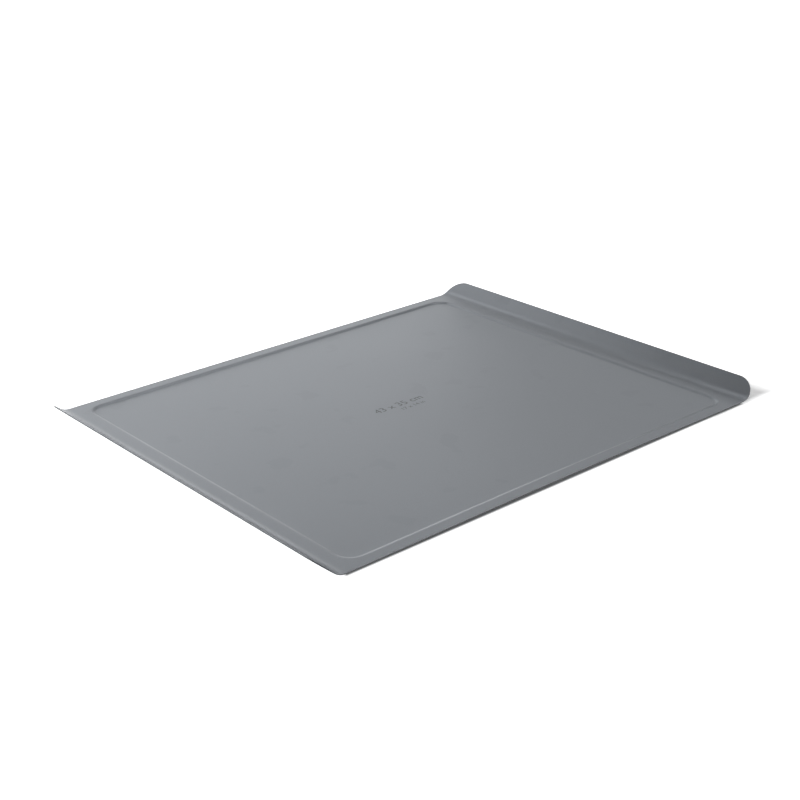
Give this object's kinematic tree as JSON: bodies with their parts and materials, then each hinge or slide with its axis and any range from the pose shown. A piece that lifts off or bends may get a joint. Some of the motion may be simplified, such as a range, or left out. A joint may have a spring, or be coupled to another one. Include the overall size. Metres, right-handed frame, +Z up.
{
  "type": "cookie sheet",
  "caption": "Flat rectangular cookie sheet with a shallow pressed baking panel, a wide upturned lip at each short end to grip it by, and nonstick coating on both faces.",
  "frame": {"origin": "middle of the baking panel's underside, on the face that rests on the oven rack", "axes": "+X along the length, from lip to lip; +Y across the width; +Z up, away from the rack"},
  "size_m": [0.436, 0.3558, 0.014],
  "materials": {
    "steel": "sheared, bare at the edge",
    "food_coating": "satin metallic grey",
    "underside_coating": "satin metallic grey"
  },
  "bodies": {
    "root": {"steel_sheet": "steel", "food_side_coating": "food_coating", "underside_coating": "underside_coating"}
  },
  "joints": []
}
